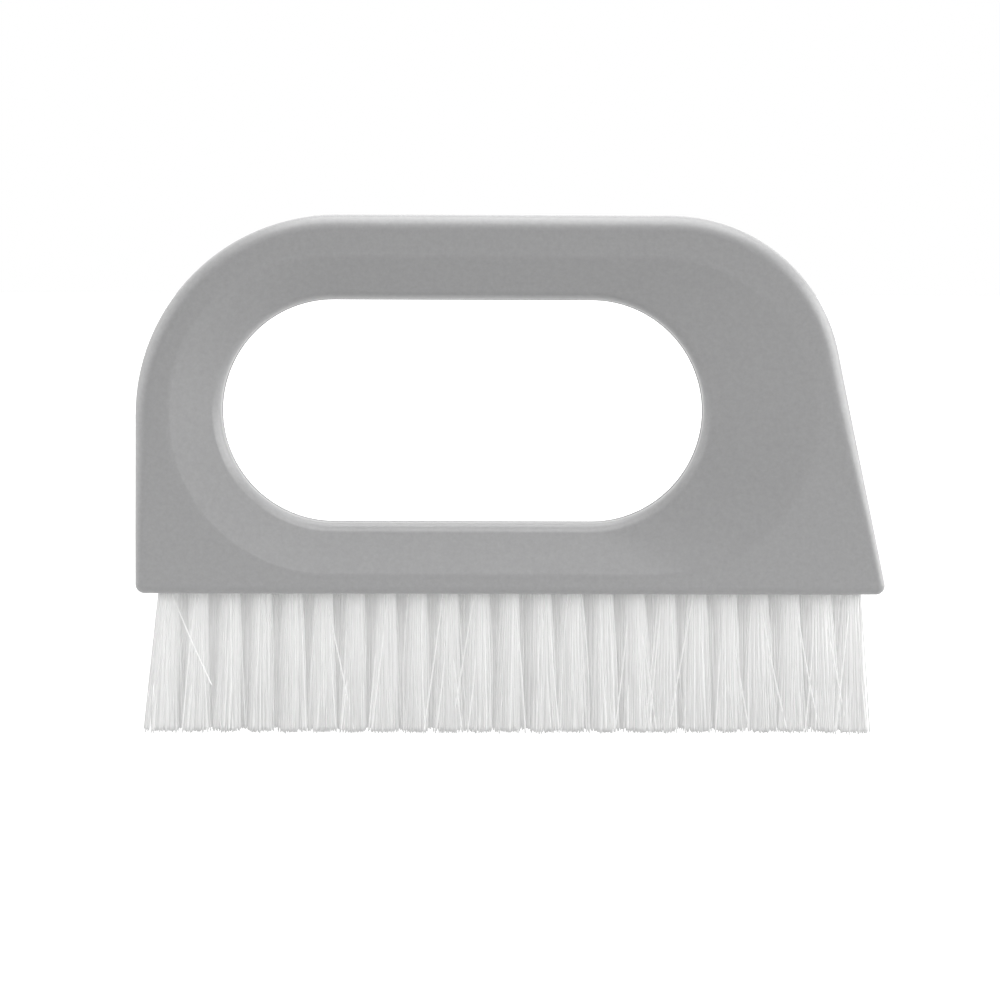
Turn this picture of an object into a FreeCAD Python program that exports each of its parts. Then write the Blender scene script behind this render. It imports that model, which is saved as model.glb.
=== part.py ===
# Grout brush: a moulded loop handle whose foot carries two staggered rows of bristle tufts. Each tuft is
# a bundle of filaments folded over a flat wire anchor, which is driven with it into a hole in the foot.
#
# X runs along the brush, from its upright heel to its raked toe, Y through its thickness, from the front
# row to the rear row, and Z up. The brush stands on its bristle tips at Z = 0, and the origin is under the
# middle of its length and thickness. All lengths are in millimetres.
import FreeCAD, Part
import math
import os

Vector = FreeCAD.Vector

# Handle outline
HANDLE_LENGTH = 155.0
HANDLE_HEIGHT = 78.0
HANDLE_THICKNESS = 18.0
TOE_RADIUS = 35.2
TOE_RAKE_DEG = 11.7

# Rounded edges of the handle: the long ones up the heel, over the grip and down the toe, then the foot's rim
GRIP_EDGE_RADIUS = 3.2
FOOT_EDGE_RADIUS = 1.9

# Finger opening, by the bars and posts that stay round it, and the rounded edge of its wall
GRIP_BAR = 17.2
FOOT_BAR = 14.4
HEEL_POST = 17.8
TOE_POST = 37.5
OPENING_EDGE_RADIUS = 2.5
OPENING_EDGE_START_DEG = 17.0
OPENING_EDGE_BANDS = 3

# Scoop on both faces, which slopes in to the opening, by the flat lands that stay outside its rim
SCOOP_DEPTH = 2.4
GRIP_LAND = 8.4
FOOT_LAND = 3.8
HEEL_LAND = 6.8
TOE_LAND = 14.5
SCOOP_RIM_RADIUS = 6.0

# Tuft holes in the underside of the foot, drawn with flats as their tufts are, and measured across them
FRONT_TUFT_COUNT = 23
ROW_SPACING = 5.6
END_HOLE_INSET = 6.4
HOLE_WIDTH = 4.0
HOLE_DEPTH = 10.0
FLAT_COUNT = 8

# Tufts: straight in the hole, then spread towards their trimmed tips
TRIM_LENGTH = 29.5
TUFT_CLEARANCE = 0.05
TIP_GAP = 0.3
ROW_FAN = 0.9
ROW_SPLAY = 0.6

# Wire anchors, each across its tuft inside the fold
ANCHOR_THICKNESS = 0.35
ANCHOR_WIDTH = 2.0
ANCHOR_TURN_DEG = 45.0
FOLD_THICKNESS = 1.2

# How far a cutting tool runs past what it cuts, and how near a point counts as on a plane
CUT_OVERRUN = 1.0
ON_PLANE = 0.01

# Places that follow from these sizes
HEEL_X = -HANDLE_LENGTH / 2
TOE_X = HANDLE_LENGTH / 2
FOOT_Z = TRIM_LENGTH
TOP_Z = FOOT_Z + HANDLE_HEIGHT
FACE_Y = HANDLE_THICKNESS / 2
TOE_RAKE = math.radians(TOE_RAKE_DEG)
RIM_BOX = (HEEL_X + HEEL_LAND, TOE_X - TOE_LAND, FOOT_Z + FOOT_LAND, TOP_Z - GRIP_LAND)
OPENING_BOX = (HEEL_X + HEEL_POST, TOE_X - TOE_POST, FOOT_Z + FOOT_BAR, TOP_Z - GRIP_BAR)
HEEL_RADIUS = (RIM_BOX[3] - RIM_BOX[2]) / 2 + GRIP_LAND


# Curves in the plane of the handle

def line(start, end, y):
    """Straight edge between two (x, z) points."""
    return Part.LineSegment(Vector(start[0], y, start[1]), Vector(end[0], y, end[1])).toShape()


def arc(centre, radius, start_angle, end_angle, y):
    """Round edge about an (x, z) centre, with angles in radians from +X towards +Z."""
    points = []
    for angle in (start_angle, (start_angle + end_angle) / 2, end_angle):
        reach = Vector(math.cos(angle), 0, math.sin(angle)) * radius
        points.append(Vector(centre[0], y, centre[1]) + reach)
    return Part.Arc(*points).toShape()


def slot_outline(box, y):
    """Closed outline with half-round ends that fills box = x low, x high, z low, z high."""
    low_x, high_x, low_z, high_z = box
    radius = (high_z - low_z) / 2
    middle_z = (low_z + high_z) / 2
    heel_end = low_x + radius
    toe_end = high_x - radius
    quarter = math.pi / 2
    return Part.Wire([
        line((heel_end, low_z), (toe_end, low_z), y),
        arc((toe_end, middle_z), radius, -quarter, quarter, y),
        line((toe_end, high_z), (heel_end, high_z), y),
        arc((heel_end, middle_z), radius, quarter, 3 * quarter, y),
    ])


def handle_outline(y):
    """Side outline of the handle: flat foot, raked toe, straight grip and a big round at the heel."""
    # The toe's rounded corner, not the sharp one drawn here, ends at TOE_X.
    sharp_toe_x = TOE_X + FOOT_EDGE_RADIUS * (math.tan(TOE_RAKE) + 1 / math.cos(TOE_RAKE) - 1)
    rake_top_z = TOP_Z - TOE_RADIUS + TOE_RADIUS * math.sin(TOE_RAKE)
    rake_top_x = sharp_toe_x - (rake_top_z - FOOT_Z) * math.tan(TOE_RAKE)
    toe_round = (rake_top_x - TOE_RADIUS * math.cos(TOE_RAKE), TOP_Z - TOE_RADIUS)
    heel_round = (HEEL_X + HEEL_RADIUS, TOP_Z - HEEL_RADIUS)
    quarter = math.pi / 2
    return Part.Wire([
        line((HEEL_X, FOOT_Z), (sharp_toe_x, FOOT_Z), y),
        line((sharp_toe_x, FOOT_Z), (rake_top_x, rake_top_z), y),
        arc(toe_round, TOE_RADIUS, TOE_RAKE, quarter, y),
        line((toe_round[0], TOP_Z), (heel_round[0], TOP_Z), y),
        arc(heel_round, HEEL_RADIUS, quarter, 2 * quarter, y),
        line((HEEL_X, heel_round[1]), (HEEL_X, FOOT_Z), y),
    ])


# Handle moulding

def rounded_blank():
    """Outline extruded through the thickness, with its long edges rounded, and then the rim of its foot."""
    blank = Part.Face(handle_outline(-FACE_Y)).extrude(Vector(0, HANDLE_THICKNESS, 0))
    long_edges = []
    for edge in blank.Edges:
        middle = edge.valueAt((edge.FirstParameter + edge.LastParameter) / 2)
        if abs(middle.y) > FACE_Y - ON_PLANE and middle.z > FOOT_Z + ON_PLANE:
            long_edges.append(edge)
    blank = blank.makeFillet(GRIP_EDGE_RADIUS, long_edges)
    foot_rim = [edge for edge in blank.Edges if edge.BoundBox.ZMax < FOOT_Z + ON_PLANE]
    return blank.makeFillet(FOOT_EDGE_RADIUS, foot_rim)


def grown(box, margin):
    """Box = x low, x high, z low, z high, made larger all round."""
    return (box[0] - margin, box[1] + margin, box[2] - margin, box[3] + margin)


def opening_half(side):
    """Outlines of the opening from one face to its wall: scoop, then the rounded edge in short bands."""
    start_angle = math.radians(OPENING_EDGE_START_DEG)
    sections = []
    for band in range(OPENING_EDGE_BANDS + 1):
        angle = start_angle + (math.pi / 2 - start_angle) * band / OPENING_EDGE_BANDS
        margin = OPENING_EDGE_RADIUS * (1 - math.sin(angle))
        depth = SCOOP_DEPTH + OPENING_EDGE_RADIUS * (math.cos(start_angle) - math.cos(angle))
        sections.append(slot_outline(grown(OPENING_BOX, margin), side * (FACE_Y - depth)))
    # The scoop's slope is run on past the face.
    scoop_end = grown(OPENING_BOX, OPENING_EDGE_RADIUS * (1 - math.sin(start_angle)))
    run_on_share = 1 + CUT_OVERRUN / SCOOP_DEPTH
    run_on = [inner + (rim - inner) * run_on_share for rim, inner in zip(RIM_BOX, scoop_end)]
    return [slot_outline(run_on, side * (FACE_Y + CUT_OVERRUN))] + sections


def opening_tool():
    """Cutter for the finger opening with its scoops, from the front face through to the rear one."""
    return Part.makeLoft(opening_half(-1) + opening_half(1)[::-1], True, True)


def rim_edges(solid):
    """Edges of both faces that the scoops have cut."""
    found = []
    for edge in solid.Edges:
        points = edge.discretize(3)
        on_face = all(abs(point.y) > FACE_Y - ON_PLANE for point in points)
        low_x, high_x, low_z, high_z = grown(RIM_BOX, ON_PLANE)
        on_rim = all(low_x < point.x < high_x and low_z < point.z < high_z for point in points)
        if on_face and on_rim:
            found.append(edge)
    return found


def handle_moulding(places):
    """Loop handle with its finger opening, scoops and tuft holes."""
    solid = rounded_blank().cut(opening_tool())
    solid = solid.makeFillet(SCOOP_RIM_RADIUS, rim_edges(solid))
    return solid.cut([tuft_hole(place) for place in places]).Solids[0]


# Places of the tufts

def tuft_places():
    """Name, root and tip of each tuft. The rear row has one less, between those of the front row."""
    first_x = HEEL_X + END_HOLE_INSET
    last_x = TOE_X - END_HOLE_INSET
    pitch = (last_x - first_x) / (FRONT_TUFT_COUNT - 1)
    rows = (
        ("front", -1, FRONT_TUFT_COUNT, first_x),
        ("rear", 1, FRONT_TUFT_COUNT - 1, first_x + pitch / 2),
    )
    places = []
    for row, side, count, row_start in rows:
        for index in range(count):
            root_x = row_start + index * pitch
            lean_share = (2 * root_x - first_x - last_x) / (last_x - first_x)
            places.append({
                "row": row,
                "name": f"{row}_tuft_{index + 1:02d}",
                "root": Vector(root_x, side * ROW_SPACING / 2, FOOT_Z),
                "tip": Vector(root_x + ROW_FAN * lean_share, side * (ROW_SPACING / 2 + ROW_SPLAY), 0),
            })
    return places


def tip_width(places):
    """Distance between neighbouring tips of a row, less the gap that stays between them."""
    return places[1]["tip"].x - places[0]["tip"].x - TIP_GAP


# Tufts, their holes and their anchors

def flats_ring(centre, width):
    """Corners of a level section, by its width across flats, with a flat towards the end of the anchor."""
    step = 2 * math.pi / FLAT_COUNT
    start = math.radians(ANCHOR_TURN_DEG) + step / 2
    radius = width / 2 / math.cos(step / 2)
    corners = []
    for number in range(FLAT_COUNT):
        angle = start + number * step
        corners.append(centre + Vector(math.cos(angle), math.sin(angle), 0) * radius)
    return corners


def flat_face(corners):
    """Flat face through these corners."""
    return Part.Face(Part.makePolygon(corners + corners[:1]))


def tuft_hole(place):
    """Cutter for the blind hole of one tuft, run on below the foot."""
    start = place["root"] - Vector(0, 0, CUT_OVERRUN)
    return flat_face(flats_ring(start, HOLE_WIDTH)).extrude(Vector(0, 0, HOLE_DEPTH + CUT_OVERRUN))


def flat_wire(place, length):
    """Flat wire just inside the fold of a tuft, turned from the row so that the foot isn't split."""
    low_z = HOLE_DEPTH - TUFT_CLEARANCE - FOLD_THICKNESS - ANCHOR_WIDTH
    low_corner = Vector(-length / 2, -ANCHOR_THICKNESS / 2, low_z)
    wire = Part.makeBox(length, ANCHOR_THICKNESS, ANCHOR_WIDTH, low_corner)
    wire.rotate(Vector(0, 0, 0), Vector(0, 0, 1), ANCHOR_TURN_DEG)
    wire.translate(place["root"])
    return wire


def anchor_wire(place):
    """Anchor of one tuft, which spans its hole."""
    return flat_wire(place, HOLE_WIDTH - 2 * TUFT_CLEARANCE)


def bristle_tuft(place, spread_width):
    """Folded bundle: a straight plug that fills its hole, then a brush that spreads to the trimmed tip."""
    plug_width = HOLE_WIDTH - 2 * TUFT_CLEARANCE
    rings = [
        flats_ring(place["root"] + Vector(0, 0, HOLE_DEPTH - TUFT_CLEARANCE), plug_width),
        flats_ring(place["root"], plug_width),
        flats_ring(place["tip"], spread_width),
    ]
    faces = [flat_face(rings[0]), flat_face(rings[-1])]
    for upper, lower in zip(rings, rings[1:]):
        for here in range(FLAT_COUNT):
            there = here - 1
            faces.append(flat_face([upper[there], upper[here], lower[here], lower[there]]))
    bundle = Part.Solid(Part.Shell(faces))
    slot = flat_wire(place, HOLE_WIDTH + 2 * CUT_OVERRUN)
    return bundle.cut(slot).Solids[0]


def main():
    os.makedirs("parts", exist_ok=True)
    places = tuft_places()
    pieces = {"handle": handle_moulding(places)}
    for row in ("front", "rear"):
        wires = [anchor_wire(place) for place in places if place["row"] == row]
        pieces[f"{row}_anchor_wires"] = Part.makeCompound(wires)
    for place in places:
        pieces[place["name"]] = bristle_tuft(place, tip_width(places))
    for name, shape in pieces.items():
        shape.exportStep(f"parts/{name}.step")
    solids = sum(len(shape.Solids) for shape in pieces.values())
    print(f"{len(pieces)} nodes, {solids} solids, handle volume {pieces['handle'].Volume:.0f} mm3")


main()
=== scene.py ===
# %% [markdown]
# A grout brush, modelled as a lesson.
# The real brush is a grey loop handle, moulded in one piece, with two staggered rows of white nylon tufts
# set in its foot. The solid model of the same brush is loaded first and stays as the frame: it says where
# each piece sits and how big it is. Each cell below then dresses one piece of it.

# %% Load the frame
import math

import bpy
import numpy as np
from mathutils import Matrix, Vector


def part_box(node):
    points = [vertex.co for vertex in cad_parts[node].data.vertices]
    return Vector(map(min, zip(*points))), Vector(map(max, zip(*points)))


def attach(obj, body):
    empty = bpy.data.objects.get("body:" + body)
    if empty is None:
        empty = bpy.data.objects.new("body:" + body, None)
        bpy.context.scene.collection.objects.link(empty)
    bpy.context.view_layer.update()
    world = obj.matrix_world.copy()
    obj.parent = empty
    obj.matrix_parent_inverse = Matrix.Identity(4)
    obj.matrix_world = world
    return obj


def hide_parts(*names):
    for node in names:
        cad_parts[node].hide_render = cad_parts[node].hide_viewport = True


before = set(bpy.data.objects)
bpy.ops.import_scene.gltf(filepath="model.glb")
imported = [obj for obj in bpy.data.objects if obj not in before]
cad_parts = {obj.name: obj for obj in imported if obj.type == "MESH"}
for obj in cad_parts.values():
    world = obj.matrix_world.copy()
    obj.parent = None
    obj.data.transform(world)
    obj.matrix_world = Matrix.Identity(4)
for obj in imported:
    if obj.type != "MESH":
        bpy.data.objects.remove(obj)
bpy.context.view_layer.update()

MM = 0.001

# %% [markdown]
# The camera.
# The brush is seen almost square on, from a little above its middle and a touch to one side, through a long
# lens that keeps both ends of the handle nearly the same size. The lens is worked out from the width that
# the frame should take in at the handle's front face, so the distance can be changed without changing the
# framing. The camera's place is a product of simple moves, read from right to left: roll, back off, swing.

# %% Set up the camera
VIEW_DISTANCE = 630 * MM
VIEW_WIDTH = 205.8 * MM
VIEW_RISE = math.radians(4)
VIEW_TURN, VIEW_ROLL = math.radians(0.8), math.radians(0.2)
AIM = Vector((-2.3, -9, 49.1)) * MM
SENSOR, CLIP_END = 36, 100

bpy.ops.object.select_all(action="DESELECT")
bpy.ops.object.camera_add()
camera = bpy.context.object
camera.name = "front_camera"
camera.data.sensor_fit = "HORIZONTAL"
camera.data.sensor_width = SENSOR
camera.data.lens = SENSOR * VIEW_DISTANCE / VIEW_WIDTH
camera.data.clip_end = CLIP_END
swing = Matrix.Rotation(-VIEW_TURN, 4, "Z") @ Matrix.Rotation(math.pi / 2 - VIEW_RISE, 4, "X")
back_off = Matrix.Translation((0, 0, VIEW_DISTANCE))
camera.matrix_world = Matrix.Translation(AIM) @ swing @ back_off @ Matrix.Rotation(VIEW_ROLL, 4, "Z")
bpy.context.scene.camera = camera
print("camera: lens", round(camera.data.lens, 1), "mm at", round(VIEW_DISTANCE / MM), "mm")

# %% [markdown]
# The studio.
# A grey object on white is best lit as in a light tent: white from all round, so that no side falls dark.
# This tent is brightest up and behind, which lights the edges and leaves the face calm. A large soft lamp
# hangs overhead, and one far off at each end lights the toe and the heel. The one at the toe is stronger
# and shines along the face, so that the slope of the scoop stands out. The floor glows a little itself, as
# a lit table does, and shows white to the camera and in reflections, so that the shadow under the bristles
# stays faint and the walls of the finger opening pick up its white.

# %% Lay the floor
FLOOR_SIZE, FLOOR_GREY, FLOOR_ROUGHNESS = 60, 0.35, 0.9
WHITE = (1, 1, 1, 1)
LIGHT_GLOW = (0.06, 0.3, 0.6, 0.0)
SEEN_GLOW = (0.15, 0.7, 0.6, 1.0)


def plain_material(name):
    """A new material with one Principled shader, its nodes and that shader."""
    material = bpy.data.materials.new(name)
    material.use_nodes = True
    nodes = material.node_tree.nodes
    return material, nodes, nodes["Principled BSDF"]


bpy.ops.mesh.primitive_plane_add(size=FLOOR_SIZE, location=(0, 0, 0))
floor = bpy.context.object
floor.name = "floor"
floor_paint, nodes, shader = plain_material("floor_paint")
shader.inputs["Base Color"].default_value = (FLOOR_GREY, FLOOR_GREY, FLOOR_GREY, 1)
shader.inputs["Roughness"].default_value = FLOOR_ROUGHNESS
shader.inputs["Emission Color"].default_value = WHITE
links = floor_paint.node_tree.links
place = nodes.new("ShaderNodeTexCoord")
reach = nodes.new("ShaderNodeVectorMath")
reach.operation = "LENGTH"
links.new(place.outputs["Object"], reach.inputs[0])


def floor_glow(near, far, near_glow, far_glow):
    """How bright the floor is, from near the brush to far from it, in metres and in strength."""
    glow = nodes.new("ShaderNodeMapRange")
    for label, value in zip(("From Min", "From Max", "To Min", "To Max"), (near, far, near_glow, far_glow)):
        glow.inputs[label].default_value = value
    links.new(reach.outputs["Value"], glow.inputs["Value"])
    return glow.outputs["Result"]


seen = nodes.new("ShaderNodeLightPath")
shown = nodes.new("ShaderNodeMath")
shown.operation = "MAXIMUM"
glow = nodes.new("ShaderNodeMix")
links.new(seen.outputs["Is Camera Ray"], shown.inputs[0])
links.new(seen.outputs["Is Glossy Ray"], shown.inputs[1])
links.new(shown.outputs["Value"], glow.inputs["Factor"])
links.new(floor_glow(*LIGHT_GLOW), glow.inputs["A"])
links.new(floor_glow(*SEEN_GLOW), glow.inputs["B"])
links.new(glow.outputs["Result"], shader.inputs["Emission Strength"])
floor.data.materials.append(floor_paint)
print("floor:", FLOOR_SIZE, "m across")

# %% Hang the lamps


def soft_lamp(name, place, wide, high, power):
    """A flat lamp at that place, of that size in metres and power in watts, turned to face the brush."""
    bpy.ops.object.light_add(type="AREA", location=place)
    lamp = bpy.context.object
    lamp.name = name
    lamp.data.shape = "RECTANGLE"
    lamp.data.size, lamp.data.size_y = wide, high
    lamp.data.energy = power
    facing = AIM - Vector(place)
    lamp.rotation_euler = facing.to_track_quat("-Z", "Y").to_euler()


soft_lamp("overhead_lamp", (0.2, -0.1, 2.4), 2.6, 2.6, 68)
soft_lamp("toe_lamp", (2.5, -0.2, 0.8), 3.2, 1.5, 70)
soft_lamp("heel_lamp", (-2.4, -0.3, 0.8), 3.2, 1.5, 32)
lamps = [thing.name for thing in bpy.data.objects if thing.type == "LIGHT"]
print("lamps:", lamps)

# %% Raise the light tent
TENT_FRONT, TENT_BACK, TENT_WHITE = 0.09, 1.5, 1.0
TENT_LIGHT_SIDE = (0, 0.85, 0.53)
world = bpy.data.worlds.new("light_tent")
world.use_nodes = True
backdrop = world.node_tree.nodes["Background"]
backdrop.inputs["Color"].default_value = WHITE
nodes, links = world.node_tree.nodes, world.node_tree.links
way = nodes.new("ShaderNodeTexCoord")
along_light = nodes.new("ShaderNodeVectorMath")
along_light.operation = "DOT_PRODUCT"
along_light.inputs[1].default_value = TENT_LIGHT_SIDE
tent = nodes.new("ShaderNodeMapRange")
tent.inputs["From Min"].default_value = -1
tent.inputs["To Min"].default_value = TENT_FRONT
tent.inputs["To Max"].default_value = TENT_BACK
seen = nodes.new("ShaderNodeLightPath")
white = nodes.new("ShaderNodeMix")
white.inputs["B"].default_value = TENT_WHITE
links.new(way.outputs["Generated"], along_light.inputs[0])
links.new(along_light.outputs["Value"], tent.inputs["Value"])
links.new(seen.outputs["Is Camera Ray"], white.inputs["Factor"])
links.new(tent.outputs["Result"], white.inputs["A"])
links.new(white.outputs["Result"], backdrop.inputs["Strength"])
bpy.context.scene.world = world
bpy.context.scene.view_settings.view_transform = "Standard"
print("tent: from", TENT_FRONT, "in front to", TENT_BACK, "behind")

# %% [markdown]
# Shared surface effects.
# Moulded plastic and drawn wire have a tone that is never quite even, and they and the nylon have a fine
# grain that breaks up reflections. Each effect is a small node group, so every finish below uses the same
# one with its own scale and amount.

# %% The drifting tone


def new_group(name, inputs, outputs):
    """An empty shader node group with those sockets, and its two end nodes."""
    group = bpy.data.node_groups.new(name, "ShaderNodeTree")
    for label, kind, value in inputs:
        socket = group.interface.new_socket(name=label, in_out="INPUT", socket_type=kind)
        socket.default_value = value
    for label, kind in outputs:
        group.interface.new_socket(name=label, in_out="OUTPUT", socket_type=kind)
    start = group.nodes.new("NodeGroupInput")
    end = group.nodes.new("NodeGroupOutput")
    return group, start, end


def drift_group():
    """A colour that drifts between two tones."""
    group, start, end = new_group(
        "tone_drift",
        [("Scale", "NodeSocketFloat", 20.0), ("Dark", "NodeSocketColor", (0.3, 0.3, 0.3, 1)),
         ("Light", "NodeSocketColor", (0.4, 0.4, 0.4, 1))],
        [("Color", "NodeSocketColor")])
    place = group.nodes.new("ShaderNodeTexCoord")
    cloud = group.nodes.new("ShaderNodeTexNoise")
    cloud.inputs["Detail"].default_value = 2
    cloud.inputs["Roughness"].default_value = 0.75
    mix = group.nodes.new("ShaderNodeMix")
    mix.data_type = "RGBA"
    link = group.links.new
    link(place.outputs["Object"], cloud.inputs["Vector"])
    link(start.outputs["Scale"], cloud.inputs["Scale"])
    link(cloud.outputs["Fac"], mix.inputs["Factor"])
    link(start.outputs["Dark"], mix.inputs["A"])
    link(start.outputs["Light"], mix.inputs["B"])
    link(mix.outputs["Result"], end.inputs["Color"])
    return group


tone_drift = drift_group()
print("shader group:", tone_drift.name)

# %% The fine grain


def grain_group():
    """A fine grain: a height for bump, and a roughness that follows it."""
    group, start, end = new_group(
        "fine_grain",
        [("Scale", "NodeSocketFloat", 3000.0), ("Smooth", "NodeSocketFloat", 0.4),
         ("Rough", "NodeSocketFloat", 0.55)],
        [("Height", "NodeSocketFloat"), ("Roughness", "NodeSocketFloat")])
    place = group.nodes.new("ShaderNodeTexCoord")
    speck = group.nodes.new("ShaderNodeTexNoise")
    speck.inputs["Detail"].default_value = 2
    spread = group.nodes.new("ShaderNodeMapRange")
    link = group.links.new
    link(place.outputs["Object"], speck.inputs["Vector"])
    link(start.outputs["Scale"], speck.inputs["Scale"])
    link(speck.outputs["Fac"], end.inputs["Height"])
    link(speck.outputs["Fac"], spread.inputs["Value"])
    link(start.outputs["Smooth"], spread.inputs["To Min"])
    link(start.outputs["Rough"], spread.inputs["To Max"])
    link(spread.outputs["Result"], end.inputs["Roughness"])
    return group


fine_grain = grain_group()
print("shader group:", fine_grain.name)

# %% [markdown]
# The handle's plastic.
# It is a neutral mid grey with a satin skin from a lightly blasted mould: it reflects the lamps as a soft
# glow, never as a sharp picture. A mottle of tone about a millimetre across and a grain of a third of that
# keep it from looking painted. Larger clouds of tone would hide the shallow scoop, so there are none.

# %% Mix the handle's plastic
BUMP_STRENGTH, BUMP_DEPTH = 0.25, 0.03 * MM


def use_group(nodes, group, **values):
    """A node that uses that group, with some of its inputs set."""
    node = nodes.new("ShaderNodeGroup")
    node.node_tree = group
    for label, value in values.items():
        node.inputs[label].default_value = value
    return node


def add_bump(nodes, links, height, shader, strength, depth):
    """A bump node between that height and the shader."""
    bump = nodes.new("ShaderNodeBump")
    bump.inputs["Strength"].default_value = strength
    bump.inputs["Distance"].default_value = depth
    links.new(height, bump.inputs["Height"])
    links.new(bump.outputs["Normal"], shader.inputs["Normal"])


handle_plastic, nodes, shader = plain_material("grey_handle_plastic")
links = handle_plastic.node_tree.links
drift = use_group(nodes, tone_drift, Scale=900, Dark=(0.23, 0.23, 0.232, 1),
                  Light=(0.296, 0.296, 0.298, 1))
grain = use_group(nodes, fine_grain, Scale=3200, Smooth=0.26, Rough=0.42)
links.new(drift.outputs["Color"], shader.inputs["Base Color"])
links.new(grain.outputs["Roughness"], shader.inputs["Roughness"])
add_bump(nodes, links, grain.outputs["Height"], shader, BUMP_STRENGTH, BUMP_DEPTH)
print("material:", handle_plastic.name)

# %% [markdown]
# The handle, first step: three outlines.
# The handle is a flat shape with a hole, so it is drawn as closed lines and then filled in between them. A
# line is started from one corner point: extrude makes the straight runs and spin makes the rounds, which
# come out as true arcs. The outer edge, the rim of the scoop and the lip of the finger opening are each
# drawn with the same number of points, so they can be bridged without a twist.

# %% Make the drawing tools
WELD = 0.01 * MM


def start_line(name, point):
    """A new mesh of one point, open for editing."""
    bpy.ops.object.select_all(action="DESELECT")
    bpy.ops.mesh.primitive_plane_add(size=MM, location=(0, 0, 0))
    line = bpy.context.object
    line.name = name
    bpy.ops.object.mode_set(mode="EDIT")
    bpy.ops.mesh.select_mode(type="VERT")
    bpy.ops.mesh.select_all(action="SELECT")
    bpy.ops.mesh.merge(type="CENTER")
    bpy.ops.transform.translate(value=point)
    return line


def run(along, up, steps):
    """The line goes on straight."""
    for _ in range(steps):
        bpy.ops.mesh.extrude_region_move(TRANSFORM_OT_translate={"value": (along / steps, 0, up / steps)})


def turn(centre, angle, steps):
    """The line goes on round a centre."""
    bpy.ops.mesh.spin(steps=steps, angle=angle, center=centre, axis=(0, 1, 0))


def close_line(line):
    """The line's end meets its start, and its points are kept as a group of the line's name."""
    bpy.ops.mesh.select_all(action="SELECT")
    bpy.ops.mesh.remove_doubles(threshold=WELD)
    bpy.ops.object.vertex_group_add()
    line.vertex_groups.active.name = line.name
    bpy.ops.object.vertex_group_assign()
    bpy.ops.object.mode_set(mode="OBJECT")
    print(line.name, len(line.data.vertices), "points")
    return line


print("drawing tools: start_line, run, turn, close_line")

# %% Draw the outer edge
heel_foot, toe_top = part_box("handle")
HEEL_X, FACE_Y, FOOT_Z = heel_foot
TOE_X, _, TOP_Z = toe_top
HEEL_RADIUS, TOE_RADIUS, FOOT_CORNER = 41.3 * MM, 35.2 * MM, 1.9 * MM
TOE_RAKE = math.radians(11.7)
RUN_STEPS, SIDE_STEPS, CORNER_STEPS, ROUND_STEPS = 14, 28, 8, 28


def outer_line(depth):
    """The handle's outer edge: foot, raked toe, grip and heel."""
    lean = Vector((math.cos(TOE_RAKE), 0, math.sin(TOE_RAKE)))
    toe_corner = Vector((TOE_X - FOOT_CORNER, depth, FOOT_Z + FOOT_CORNER))
    toe_round = Vector((0, depth, TOP_Z - TOE_RADIUS))
    reach = lean.dot(toe_corner) + FOOT_CORNER - TOE_RADIUS - lean.z * toe_round.z
    toe_round.x = reach / lean.x
    heel_round = Vector((HEEL_X + HEEL_RADIUS, depth, TOP_Z - HEEL_RADIUS))
    heel_corner = Vector((HEEL_X + FOOT_CORNER, depth, FOOT_Z + FOOT_CORNER))
    rake = toe_round + lean * TOE_RADIUS - toe_corner - lean * FOOT_CORNER
    line = start_line("outer_edge", (heel_corner.x, depth, FOOT_Z))
    run(toe_corner.x - heel_corner.x, 0, RUN_STEPS)
    turn(toe_corner, math.pi / 2 + TOE_RAKE, CORNER_STEPS)
    run(rake.x, rake.z, SIDE_STEPS)
    turn(toe_round, math.pi / 2 - TOE_RAKE, ROUND_STEPS)
    run(heel_round.x - toe_round.x, 0, RUN_STEPS)
    turn(heel_round, math.pi / 2, ROUND_STEPS)
    run(0, heel_corner.z - heel_round.z, SIDE_STEPS)
    turn(heel_corner, math.pi / 2, CORNER_STEPS)
    return close_line(line)


outer_edge = outer_line(FACE_Y)

# %% Draw the scoop's rim and the opening's lip
RIM_FROM_HEEL, RIM_FROM_TOE, RIM_FROM_FOOT, RIM_FROM_TOP = 6.8 * MM, 14.5 * MM, 3.8 * MM, 8.4 * MM
LIP_FROM_HEEL, LIP_FROM_TOE, LIP_FROM_FOOT, LIP_FROM_TOP = 17.5 * MM, 37.5 * MM, 14.4 * MM, 17.2 * MM
LIP_DEPTH = 4.8 * MM


def slot_line(name, heel, toe, foot, top, depth):
    """A slot with round ends, between those sides."""
    radius = (top - foot) / 2
    middle = (top + foot) / 2
    line = start_line(name, (heel + radius, depth, foot))
    run(toe - heel - 2 * radius, 0, RUN_STEPS)
    turn((toe - radius, depth, middle), math.pi, CORNER_STEPS + SIDE_STEPS + ROUND_STEPS)
    run(heel - toe + 2 * radius, 0, RUN_STEPS)
    turn((heel + radius, depth, middle), math.pi, CORNER_STEPS + SIDE_STEPS + ROUND_STEPS)
    return close_line(line)


scoop_rim = slot_line("scoop_rim", HEEL_X + RIM_FROM_HEEL, TOE_X - RIM_FROM_TOE,
                      FOOT_Z + RIM_FROM_FOOT, TOP_Z - RIM_FROM_TOP, FACE_Y)
opening_lip = slot_line("opening_lip", HEEL_X + LIP_FROM_HEEL, TOE_X - LIP_FROM_TOE,
                        FOOT_Z + LIP_FROM_FOOT, TOP_Z - LIP_FROM_TOP, FACE_Y + LIP_DEPTH)

# %% [markdown]
# The handle, second step: skin.
# The three lines become one object. Bridge lays faces between the outer edge and the rim, which is the flat
# face, and between the rim and the lip, which is the scoop that the fingers slide into. The outer edge and
# the lip are then extruded back to the middle of the handle, with one extra line of points just before it.

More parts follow.
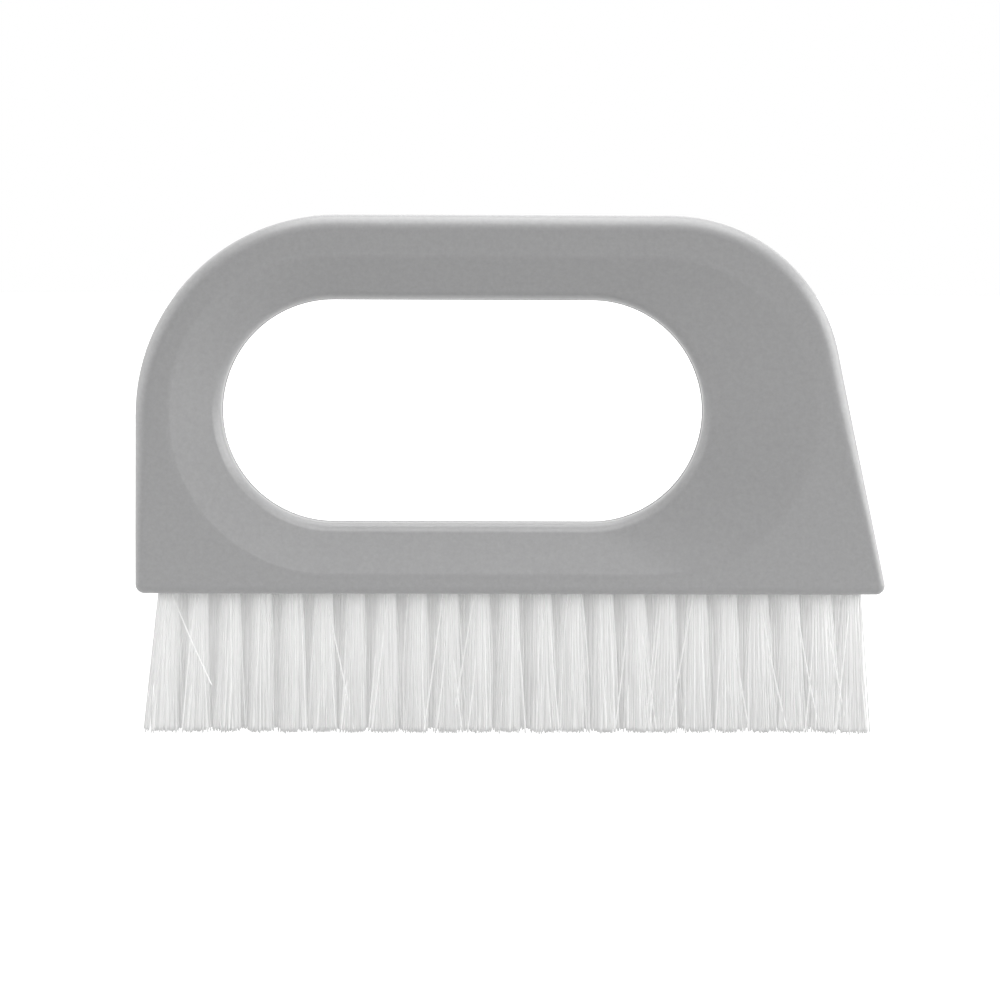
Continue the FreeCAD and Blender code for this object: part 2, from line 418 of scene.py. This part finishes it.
# %% Bridge and extrude
SEAM_WIDTH, SEAM_HEIGHT = 0.5 * MM, 0.18 * MM
bpy.ops.object.select_all(action="DESELECT")
for line in (outer_edge, scoop_rim, opening_lip):
    line.select_set(True)
bpy.context.view_layer.objects.active = outer_edge
bpy.ops.object.join()
handle = bpy.context.object
handle.name = "handle_moulding"


def select_lines(*names):
    """In edit mode: only the points of those lines."""
    bpy.ops.mesh.select_all(action="DESELECT")
    for name in names:
        handle.vertex_groups.active_index = handle.vertex_groups[name].index
        bpy.ops.object.vertex_group_select()


bpy.ops.object.mode_set(mode="EDIT")
bpy.ops.mesh.select_mode(type="VERT")
for pair in (("outer_edge", "scoop_rim"), ("scoop_rim", "opening_lip")):
    select_lines(*pair)
    bpy.ops.mesh.bridge_edge_loops()
bpy.ops.mesh.select_mode(type="EDGE")
for name, back in (("outer_edge", -FACE_Y), ("opening_lip", -FACE_Y - LIP_DEPTH)):
    select_lines(name)
    bpy.ops.mesh.extrude_edges_move(TRANSFORM_OT_translate={"value": (0, back - SEAM_WIDTH / 2, 0)})
    bpy.ops.object.vertex_group_remove_from()
    bpy.ops.mesh.extrude_edges_move(TRANSFORM_OT_translate={"value": (0, SEAM_WIDTH / 2, 0)})
bpy.ops.mesh.select_all(action="SELECT")
bpy.ops.mesh.normals_make_consistent(inside=False)
bpy.ops.object.mode_set(mode="OBJECT")
print("half skin:", len(handle.data.polygons), "faces")

# %% [markdown]
# The handle, third step: the mould seam.
# The two halves of the mould meet in the middle of the edge and leave a fine raised line there, all round
# the outside and round the opening. To make it, the last line of points is moved outwards along its normals.
# A mirror then makes the other half of the handle.

# %% Raise the seam and mirror


def select_points(piece, inside):
    """In edit mode: only the points whose place passes the test."""
    bpy.ops.mesh.select_mode(type="VERT")
    bpy.ops.mesh.select_all(action="DESELECT")
    bpy.ops.object.mode_set(mode="OBJECT")
    for point in piece.data.vertices:
        point.select = inside(point.co)
    bpy.ops.object.mode_set(mode="EDIT")


def apply_modifier(piece, kind, **settings):
    """Adds a modifier with those settings and applies it."""
    bpy.ops.object.select_all(action="DESELECT")
    piece.select_set(True)
    bpy.context.view_layer.objects.active = piece
    modifier = piece.modifiers.new(kind.lower(), kind)
    for label, value in settings.items():
        setattr(modifier, label, value)
    bpy.ops.object.modifier_apply(modifier=modifier.name)


bpy.ops.object.mode_set(mode="EDIT")
select_points(handle, lambda place: abs(place.y) < SEAM_WIDTH / 10)
bpy.ops.transform.shrink_fatten(value=SEAM_HEIGHT)
bpy.ops.object.mode_set(mode="OBJECT")
apply_modifier(handle, "MIRROR", use_axis=(False, True, False), merge_threshold=WELD)
print("handle skin:", len(handle.data.polygons), "faces")

# %% [markdown]
# The handle, fourth step: rounded edges.
# The real edge is generous along the grip, where the hand closes round it, and gets tighter towards the
# foot. One Bevel modifier does all three lines, because each edge carries its own weight: full at the grip,
# half at the foot, in between at the lip of the opening and least at the rim, which is only softened.

# %% Round the edges
GRIP_ROUND, FOOT_SHARE, LIP_SHARE, RIM_SHARE = 3.4 * MM, 0.5, 0.62, 0.2
TAPER_START, TAPER_END = FOOT_Z + 4 * MM, FOOT_Z + 48 * MM
ROUND_SEGMENTS, CLEAN_UP = 7, 0.002 * MM


def edge_weight(mesh, edge, lines):
    """How much of the grip's round an edge gets: none if it isn't on one of the lines."""
    ends = [mesh.vertices[i] for i in edge.vertices]
    shared = set.intersection(*[{g.group for g in v.groups} for v in ends])
    names = {lines[g] for g in shared}
    if "outer_edge" in names:
        height = sum(v.co.z for v in ends) / 2
        share = min(max((height - TAPER_START) / (TAPER_END - TAPER_START), 0), 1)
        return FOOT_SHARE + (1 - FOOT_SHARE) * share * share * (3 - 2 * share)
    return LIP_SHARE if "opening_lip" in names else RIM_SHARE if "scoop_rim" in names else 0


mesh = handle.data
lines = {g.index: g.name for g in handle.vertex_groups}
weights = mesh.attributes.new("bevel_weight_edge", "FLOAT", "EDGE")
for edge in mesh.edges:
    weights.data[edge.index].value = edge_weight(mesh, edge, lines)
apply_modifier(handle, "BEVEL", width=GRIP_ROUND, segments=ROUND_SEGMENTS, limit_method="WEIGHT",
               loop_slide=False, use_clamp_overlap=False)
bpy.ops.object.mode_set(mode="EDIT")
bpy.ops.mesh.select_all(action="SELECT")
bpy.ops.mesh.remove_doubles(threshold=CLEAN_UP)
bpy.ops.mesh.normals_make_consistent(inside=False)
bpy.ops.object.mode_set(mode="OBJECT")
print("rounded handle:", len(mesh.polygons), "faces")

# %% [markdown]
# The handle, fifth step: the tuft holes.
# Each tuft sits in a hole of its own, drilled into the foot. The solid model has a node for each tuft, so
# the holes take their places from those boxes. A cylinder is put at each place, they are joined to one
# drill, and the drill cuts the foot once with a Boolean.

# %% Find the tufts' places
ROW_FAN, ROW_SPLAY = 0.9 * MM, 0.6 * MM


def tuft_names(row):
    """The names of one row's tufts, from heel to toe."""
    return sorted(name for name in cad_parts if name.startswith(row + "_tuft_"))


def tip_place(name):
    """The middle of a tuft's tips, on the floor."""
    low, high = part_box(name)
    return Vector(((low[0] + high[0]) / 2, (low[1] + high[1]) / 2, low[2]))


row_reach = max(abs(tip_place(name).x) for name in tuft_names("front")) - ROW_FAN


def root_place(name):
    """The middle of a tuft's hole, on the foot's underside: a tuft leans out a little along and across."""
    tip = tip_place(name)
    return Vector((tip.x / (1 + ROW_FAN / row_reach), tip.y - math.copysign(ROW_SPLAY, tip.y), FOOT_Z))


all_tufts = tuft_names("front") + tuft_names("rear")
print("tuft places:", len(all_tufts), "reaching", round(row_reach / MM, 1), "mm from the middle")

# %% Drill the tuft holes
HOLE_RADIUS, HOLE_DEPTH, HOLE_SIDES = 2.1 * MM, 10 * MM, 20
bpy.ops.object.select_all(action="DESELECT")
drills = []
for name in all_tufts:
    bpy.ops.mesh.primitive_cylinder_add(vertices=HOLE_SIDES, radius=HOLE_RADIUS, depth=2 * HOLE_DEPTH,
                                        location=root_place(name))
    drills.append(bpy.context.object)
for drill in drills:
    drill.select_set(True)
bpy.ops.object.join()
drill = bpy.context.object
apply_modifier(handle, "BOOLEAN", operation="DIFFERENCE", solver="EXACT", object=drill)
bpy.data.objects.remove(drill)
print("drilled handle:", len(handle.data.polygons), "faces,", len(all_tufts), "holes")

# %% [markdown]
# The handle, last step: shading.
# Faces that meet at a small angle are shaded as one smooth surface, and the sharp mouths of the holes stay
# sharp. Weighted normals let the large flat faces decide the shading where they meet a narrow round.

# %% Shade and finish the handle
SMOOTH_ANGLE, FLAT_WEIGHT = math.radians(35), 80
bpy.ops.object.select_all(action="DESELECT")
handle.select_set(True)
bpy.context.view_layer.objects.active = handle
bpy.ops.object.shade_smooth_by_angle(angle=SMOOTH_ANGLE)
apply_modifier(handle, "WEIGHTED_NORMAL", keep_sharp=True, weight=FLAT_WEIGHT)
handle.vertex_groups.clear()
handle.data.materials.clear()
handle.data.materials.append(handle_plastic)
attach(handle, "root")
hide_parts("handle")
print("handle:", handle.name, "of", handle_plastic.name)

# %% [markdown]
# Nylon.
# A bristle is a drawn thread of clear-white nylon: light goes through it and comes out of its neighbours,
# so a tuft looks almost evenly white, with grey only deep between the tufts. Following the light through
# thousands of threads would be slow, so the threads cast no shadow on each other. Each carries a tone as
# an attribute of the mesh instead: its own random tone, which gives the fine streaks along a tuft, plus
# painted light and painted shade, which give the grey between the rows.

# %% Mix the nylon
NYLON_SHADE, NYLON_LIGHT = (0.32, 0.32, 0.32, 1), (0.95, 0.95, 0.945, 1)
bristle_nylon, nodes, shader = plain_material("white_bristle_nylon")
links = bristle_nylon.node_tree.links
# The thread's tone attribute holds each thread's own tone plus painted light and painted shade.
thread = nodes.new("ShaderNodeAttribute")
thread.attribute_name = "thread_tone"
ramp = nodes.new("ShaderNodeMix")
ramp.data_type = "RGBA"
ramp.inputs["A"].default_value = NYLON_SHADE
ramp.inputs["B"].default_value = NYLON_LIGHT
grain = use_group(nodes, fine_grain, Scale=1500, Smooth=0.3, Rough=0.5)
links.new(thread.outputs["Fac"], ramp.inputs["Factor"])
links.new(ramp.outputs["Result"], shader.inputs["Base Color"])
links.new(grain.outputs["Roughness"], shader.inputs["Roughness"])
print("material:", bristle_nylon.name)

# %% [markdown]
# One thread.
# Thousands of threads are needed, so one is modelled with very few faces: a five-sided rod, divided along
# its length so that it can bow. The lowest division is slid down near the cut end, and the end itself is
# drawn in a little. The thread hangs from the origin and is one unit long, so a copy's length and lean are
# a matter of moving its points.

# %% Model one thread
THREAD_RADIUS, THREAD_SIDES, THREAD_CUTS = 0.15 * MM, 5, 5
END_SHARE, END_TAPER, NEAR = 0.03, 0.7, 0.01
bpy.ops.object.select_all(action="DESELECT")
bpy.ops.mesh.primitive_cylinder_add(vertices=THREAD_SIDES, radius=THREAD_RADIUS, depth=1,
                                    location=(0, 0, -0.5))
bpy.ops.object.transform_apply(location=True, rotation=True, scale=True)
rod = bpy.context.object
bpy.ops.object.mode_set(mode="EDIT")
bpy.ops.mesh.select_mode(type="EDGE")
bpy.ops.mesh.select_all(action="DESELECT")
bpy.ops.object.mode_set(mode="OBJECT")
for edge in rod.data.edges:
    top, bottom = (rod.data.vertices[i].co.z for i in edge.vertices)
    edge.select = abs(top - bottom) > 0.5
bpy.ops.object.mode_set(mode="EDIT")
bpy.ops.mesh.subdivide(number_cuts=THREAD_CUTS)
last_cut = THREAD_CUTS / (THREAD_CUTS + 1)
select_points(rod, lambda place: abs(place.z + last_cut) < NEAR)
bpy.ops.transform.translate(value=(0, 0, last_cut - 1 + END_SHARE))
select_points(rod, lambda place: place.z < NEAR - 1)
bpy.ops.transform.resize(value=(END_TAPER, END_TAPER, 1), center_override=(0, 0, -1))
bpy.ops.object.mode_set(mode="OBJECT")
thread_points = np.array([v.co for v in rod.data.vertices])
thread_faces = [tuple(face.vertices) for face in rod.data.polygons]
bpy.data.objects.remove(rod)
print("thread:", len(thread_points), "points,", len(thread_faces), "faces")

# %% [markdown]
# The tufts.
# A tuft is packed tight in its hole and opens towards its tips, because the threads push each other apart,
# most of all those on its rim. Each thread starts in an even spiral across the hole and ends further out in
# the same direction, with a little lean, bow and length of its own. Neighbours cling together in small
# bundles, which gives broader streaks. The tufts at the two ends have no neighbour to lean on and open more.
# A few threads on the open side of each tuft have sprung loose and cross their neighbours, and one at the
# heel stands right out; these are drawn lighter, a painted highlight for the light they catch outside the
# tuft. The random numbers come from a seeded generator, so every run gives the same brush.

# %% Lay out the threads
THREADS_PER_TUFT, ROOT_DEPTH = 150, 3 * MM
GOLDEN_ANGLE = math.pi * (3 - math.sqrt(5))
PACK, TIP_SPREAD, SPREAD_RANGE, END_FLARE = 0.9, 1.15, (0.92, 1.1), 1.3
RIM_SPLAY, RIM_POWER = 0.55, 5
TIP_WANDER, TUFT_WANDER = 0.45 * MM, 0.3 * MM
BUNDLES, BUNDLE_PULL, BUNDLE_TONE = 12, 0.22, 0.8
TRIM_WANDER, TRIM_SLANT, BOW = 0.65 * MM, 0.2 * MM, 0.25 * MM
SPRUNG_THREADS, SPRUNG_LEAN, SPRUNG_PAINTED_LIGHT, OPEN_SIDE = 3, 2.6 * MM, 2.2, 40
STRAY_TUFT, STRAY_END = "front_tuft_01", np.array((-61.6, -8.4, 10.3)) * MM
STRAY_BOW, STRAY_PAINTED_LIGHT = np.array((0, -1.5)) * MM, 4
dice = np.random.default_rng(23)


def thread_lines(name):
    """Where each thread of a tuft starts and ends, how it bows and how light it is."""
    root, tip = np.array(root_place(name)), np.array(tip_place(name))
    outward = math.copysign(1, tip[1])
    count = np.arange(THREADS_PER_TUFT)
    reach = PACK * (HOLE_RADIUS - THREAD_RADIUS) * np.sqrt((count + 0.5) / THREADS_PER_TUFT)
    angle = count * GOLDEN_ANGLE + dice.uniform(0, 2 * math.pi)
    disc = np.stack([reach * np.cos(angle), reach * np.sin(angle)], axis=1)
    starts = np.zeros((THREADS_PER_TUFT, 3))
    starts[:, :2] = root[:2] + disc
    starts[:, 2] = root[2] + ROOT_DEPTH
    spread = TIP_SPREAD * dice.uniform(*SPREAD_RANGE) * (END_FLARE if abs(tip[0]) > row_reach else 1)
    ends = np.zeros((THREADS_PER_TUFT, 3))
    splay = 1 + RIM_SPLAY * (reach / reach.max()) ** RIM_POWER
    ends[:, :2] = tip[:2] + disc * spread * splay[:, None]
    ends[:, :2] += dice.normal(0, TIP_WANDER, (THREADS_PER_TUFT, 2))
    ends[:, :2] += dice.normal(0, TUFT_WANDER, 2)
    leaders = disc[dice.choice(THREADS_PER_TUFT, BUNDLES, replace=False)]
    bundle = np.argmin(np.linalg.norm(disc[:, None] - leaders, axis=2), axis=1)
    ends[:, :2] += BUNDLE_PULL * (leaders[bundle] - disc) * spread
    ends[:, 2] = dice.uniform(0, TRIM_WANDER, THREADS_PER_TUFT)
    ends[:, 2] += TRIM_SLANT if outward < 0 else 0
    bows = dice.normal(0, BOW, (THREADS_PER_TUFT, 2))
    tones = dice.random(THREADS_PER_TUFT) + BUNDLE_TONE * (dice.random(BUNDLES) - 0.5)[bundle]
    open_side = np.argsort(disc[:, 1] * outward)[-OPEN_SIDE:]
    sprung = dice.choice(open_side, SPRUNG_THREADS, replace=False)
    ends[sprung, 0] += dice.normal(0, SPRUNG_LEAN, SPRUNG_THREADS)
    ends[sprung, 1] += outward * dice.uniform(0, SPRUNG_LEAN / 2, SPRUNG_THREADS)
    # Painted highlight: sprung threads, and most of all the stray one, are drawn lighter.
    tones[sprung] = SPRUNG_PAINTED_LIGHT
    if name == STRAY_TUFT:
        ends[sprung[0]] = STRAY_END
        bows[sprung[0]] = STRAY_BOW
        tones[sprung[0]] = STRAY_PAINTED_LIGHT
    return starts, ends, bows, tones


print("threads:", THREADS_PER_TUFT, "in a tuft,", SPRUNG_THREADS, "of them sprung")

# %% [markdown]
# Planting.
# The modelled thread is copied to every line of a tuft by moving its points, and the copies become one mesh.
# A thread has a random tone of its own, and painted light makes it lighter towards the foot, where the
# handle keeps some light off. Painted shade makes the threads between the two rows greyer, most of all at
# the foot, and the cut ends grey. A painted shadow also stands for the shade each tuft casts on the heel
# side of the next one, so a tuft is lightest on its toe side.

# %% Plant the tufts
# Apart from a thread's own tone, these paint light and shade into the nylon.
TONE_TIP, TONE_OWN, ROOT_PAINTED_LIGHT, END_PAINTED_SHADE = 0.3, 0.078, 0.57, 0.24
INNER_START, INNER_END = 3.6 * MM, 0.6 * MM
INNER_PLACES, BETWEEN_ROWS_PAINTED_SHADE = (0, 0.36, 1), (-0.42, -0.1, -0.2)
SIDE_PAINTED_SHADE, ROOT_POWER, OWN_AT_ROOT, LEAN_POWER = 0.1, 1.9, 0.5, 1.05


def plant(name, starts, ends, bows, tones):
    """One mesh of all those threads, copied from the modelled one."""
    along = -thread_points[:, 2]
    ease = along ** LEAN_POWER
    points = np.zeros((len(starts), len(thread_points), 3))
    for axis in (0, 1):
        lean = (ends - starts)[:, axis, None] * ease
        points[:, :, axis] = starts[:, axis, None] + lean + bows[:, axis, None] * np.sin(math.pi * along)
        points[:, :, axis] += thread_points[:, axis]
    points[:, :, 2] = starts[:, 2, None] + (ends - starts)[:, 2, None] * along
    firsts = [n * len(thread_points) for n in range(len(starts))]
    faces = [tuple(first + i for i in face) for first in firsts for face in thread_faces]
    mesh = bpy.data.meshes.new(name)
    mesh.from_pydata(points.reshape(-1, 3).tolist(), [], faces)
    # Painted shade: threads between the two rows are drawn greyer, most of all at the foot.
    inner = np.interp(-np.abs(starts[:, 1]), (-INNER_START, -INNER_END), (0, 1))
    # Painted light: the tone gets lighter towards the foot, where the handle keeps some light off.
    shade = TONE_TIP + ROOT_PAINTED_LIGHT * (1 - along) ** ROOT_POWER
    shade = shade + TONE_OWN * tones[:, None] * (OWN_AT_ROOT + along)
    shade += np.interp(along, INNER_PLACES, BETWEEN_ROWS_PAINTED_SHADE) * inner[:, None]
    # Painted shadow: each tuft is drawn darker on its heel side and lighter on its toe side.
    side = (starts[:, 0] - starts[:, 0].mean()) / HOLE_RADIUS
    shade += SIDE_PAINTED_SHADE * side[:, None] * (1 - along)
    # Painted shade: the cut ends are drawn grey.
    shade[:, along > 1 - NEAR] = END_PAINTED_SHADE
    tone = mesh.attributes.new("thread_tone", "FLOAT", "POINT")
    tone.data.foreach_set("value", np.clip(shade, 0, 1).ravel())
    mesh.shade_smooth()
    piece = bpy.data.objects.new(name, mesh)
    bpy.context.scene.collection.objects.link(piece)
    piece.data.materials.append(bristle_nylon)
    return piece


thread_total = 0
for name in all_tufts:
    starts, ends, bows, tones = thread_lines(name)
    tuft = plant(name.replace("tuft", "bristles"), starts, ends, bows, tones)
    tuft.visible_shadow = False
    tuft.visible_diffuse = False
    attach(tuft, "root")
    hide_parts(name)
    thread_total += len(starts)
print("tufts:", len(all_tufts), "with", thread_total, "threads")

# %% [markdown]
# The anchors.
# Deep in each hole a short flat wire is driven across the fold of the tuft and holds it. None of it shows
# on a whole brush, so the solid model's own wires stay, with a drawn-wire finish.

# %% Finish the anchor wires
anchor_steel, nodes, shader = plain_material("drawn_anchor_wire")
links = anchor_steel.node_tree.links
drift = use_group(nodes, tone_drift, Scale=400, Dark=(0.5, 0.5, 0.5, 1), Light=(0.66, 0.65, 0.63, 1))
grain = use_group(nodes, fine_grain, Scale=6000, Smooth=0.25, Rough=0.45)
links.new(drift.outputs["Color"], shader.inputs["Base Color"])
links.new(grain.outputs["Roughness"], shader.inputs["Roughness"])
shader.inputs["Metallic"].default_value = 1
for name in ("front_anchor_wires", "rear_anchor_wires"):
    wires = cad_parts[name].data
    wires.materials.clear()
    wires.materials.append(anchor_steel)
print("anchors:", anchor_steel.name)
